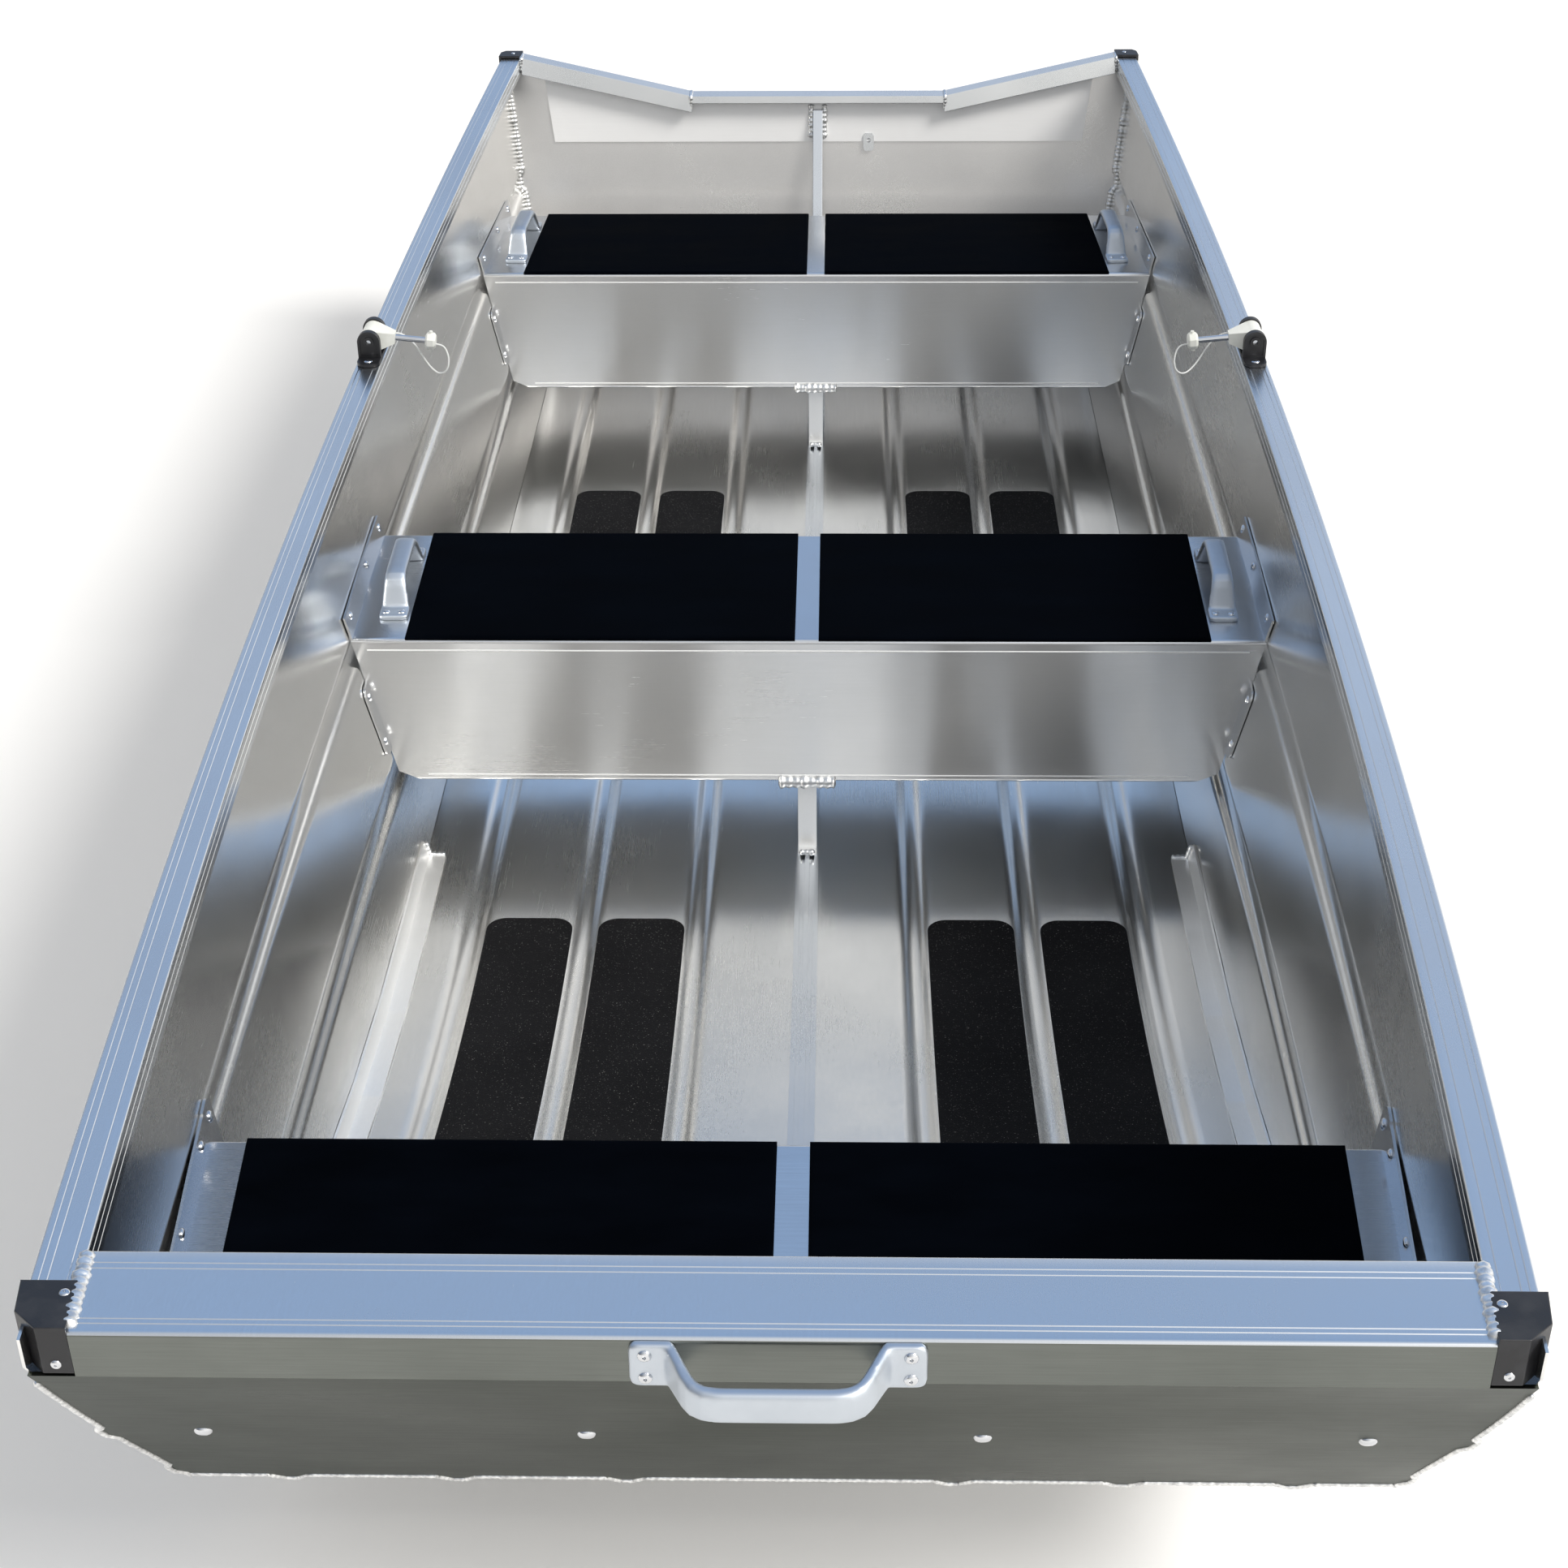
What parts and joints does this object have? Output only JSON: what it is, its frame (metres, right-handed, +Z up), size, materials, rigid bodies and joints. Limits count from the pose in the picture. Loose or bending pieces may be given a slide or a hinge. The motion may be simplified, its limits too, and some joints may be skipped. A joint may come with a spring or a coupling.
{
  "type": "jon boat",
  "caption": "Open flat-bottomed aluminium rowing boat with square ends, bench seats with foam covers, carrying handles and folding oarlocks.",
  "frame": {"origin": "below the middle of the boat's overall length, on the plane that the bottom's grooves stand on", "axes": "+X to starboard, +Y aft, +Z up"},
  "size_m": [1.1366, 3.092, 0.5962],
  "materials": {
    "hull_sheet": "mill-finish aluminium sheet, lightly scuffed",
    "seat_sheet": "bent mill-finish aluminium sheet",
    "extrusion": "aluminium extrusion with fine lengthwise lines",
    "cast_handle": "tumbled cast aluminium, pale and satin",
    "seat_foam": "smooth closed-cell foam sheet, matte",
    "grit_tape": "coarse mineral grit, matte with sparkles",
    "black_plastic": "moulded black nylon",
    "white_plastic": "moulded off-white nylon",
    "pin_steel": "bright stainless rod",
    "tether_cord": "thin white plastic tether"
  },
  "bodies": {
    "root": {"bow_bay_grit_strips": "grit_tape", "bow_cap_left": "black_plastic", "bow_cap_right": "black_plastic", "bow_deck": "extrusion", "bow_handle": "cast_handle", "bow_plate": "hull_sheet", "bow_seat": "seat_sheet", "bow_seat_pad_left": "seat_foam", "bow_seat_pad_right": "seat_foam", "chine_strip_left": "extrusion", "chine_strip_right": "extrusion", "gunwale_left": "extrusion", "gunwale_right": "extrusion", "hull_bottom": "hull_sheet", "hull_side_left": "hull_sheet", "hull_side_right": "hull_sheet", "keel_strip": "extrusion", "mid_bay_grit_strips": "grit_tape", "mid_seat": "seat_sheet", "mid_seat_handle_left": "cast_handle", "mid_seat_handle_right": "cast_handle", "mid_seat_pad_left": "seat_foam", "mid_seat_pad_right": "seat_foam", "mid_seat_post": "seat_sheet", "oarlock_base_left": "black_plastic", "oarlock_base_right": "black_plastic", "oarlock_hinge_left": "pin_steel", "oarlock_hinge_right": "pin_steel", "stern_cap_left": "black_plastic", "stern_cap_right": "black_plastic", "stern_seat": "seat_sheet", "stern_seat_handle_left": "cast_handle", "stern_seat_handle_right": "cast_handle", "stern_seat_pad_left": "seat_foam", "stern_seat_pad_right": "seat_foam", "stern_seat_post": "seat_sheet", "transom_brace": "extrusion", "transom_doubler": "seat_sheet", "transom_plate": "hull_sheet", "transom_rail_centre": "extrusion", "transom_rail_left": "extrusion", "transom_rail_right": "extrusion"},
    "oarlock_left": {"oarlock_block_left": "white_plastic", "oarlock_knob_left": "white_plastic", "oarlock_pin_left": "pin_steel", "oarlock_tether_left": "tether_cord"},
    "oarlock_right": {"oarlock_block_right": "white_plastic", "oarlock_knob_right": "white_plastic", "oarlock_pin_right": "pin_steel", "oarlock_tether_right": "tether_cord"}
  },
  "joints": [
    {"name": "oarlock_turn_right", "type": "hinge", "parent": "root", "child": "oarlock_right", "pos_m": [0.55218, 0.346, 0.49168], "axis": [0, 1, 0], "range_deg": [0, 90]},
    {"name": "oarlock_turn_left", "type": "hinge", "parent": "root", "child": "oarlock_left", "pos_m": [-0.55218, 0.346, 0.49168], "axis": [0, -1, 0], "range_deg": [0, 90]}
  ]
}
